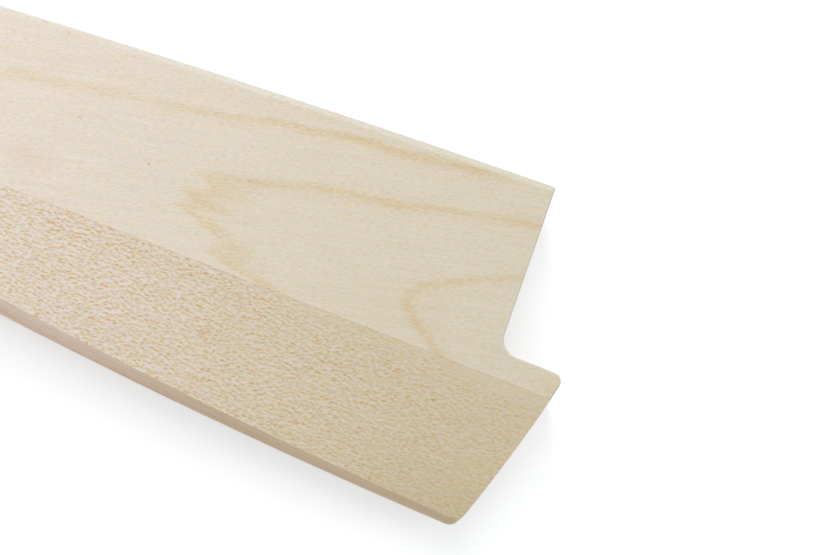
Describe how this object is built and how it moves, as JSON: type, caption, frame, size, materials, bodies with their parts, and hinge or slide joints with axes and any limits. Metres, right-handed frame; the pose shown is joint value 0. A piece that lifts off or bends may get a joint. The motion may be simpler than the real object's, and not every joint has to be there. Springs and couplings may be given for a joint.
{
  "type": "knife blade guard",
  "caption": "Flat wooden guard that covers a chef's knife blade: glued maple faces on thin rails leave a slot, and disc magnets hidden inside hold the blade.",
  "frame": {"origin": "on the flat back face, midway between the mouth edge and the tip and at half the heel's height", "axes": "+X towards the mouth and the knife's handle, +Y towards the spine, +Z out of the front face"},
  "size_m": [0.2154, 0.0581, 0.012],
  "materials": {
    "plain_maple": "fine sanded pale maple with faint brown growth lines, satin",
    "flecked_maple": "fine sanded maple with dense short orange-brown ray flecks, satin",
    "rail_maple": "fine sanded maple edge grain, satin",
    "nickel": "nickel-plated disc magnet"
  },
  "bodies": {
    "root": {"front_spine_board": "plain_maple", "front_edge_board": "flecked_maple", "spine_rail": "rail_maple", "edge_rail": "rail_maple", "back_spine_board": "plain_maple", "back_edge_board": "flecked_maple", "front_heel_magnet": "nickel", "front_tip_magnet": "nickel", "back_heel_magnet": "nickel", "back_tip_magnet": "nickel"}
  },
  "joints": []
}
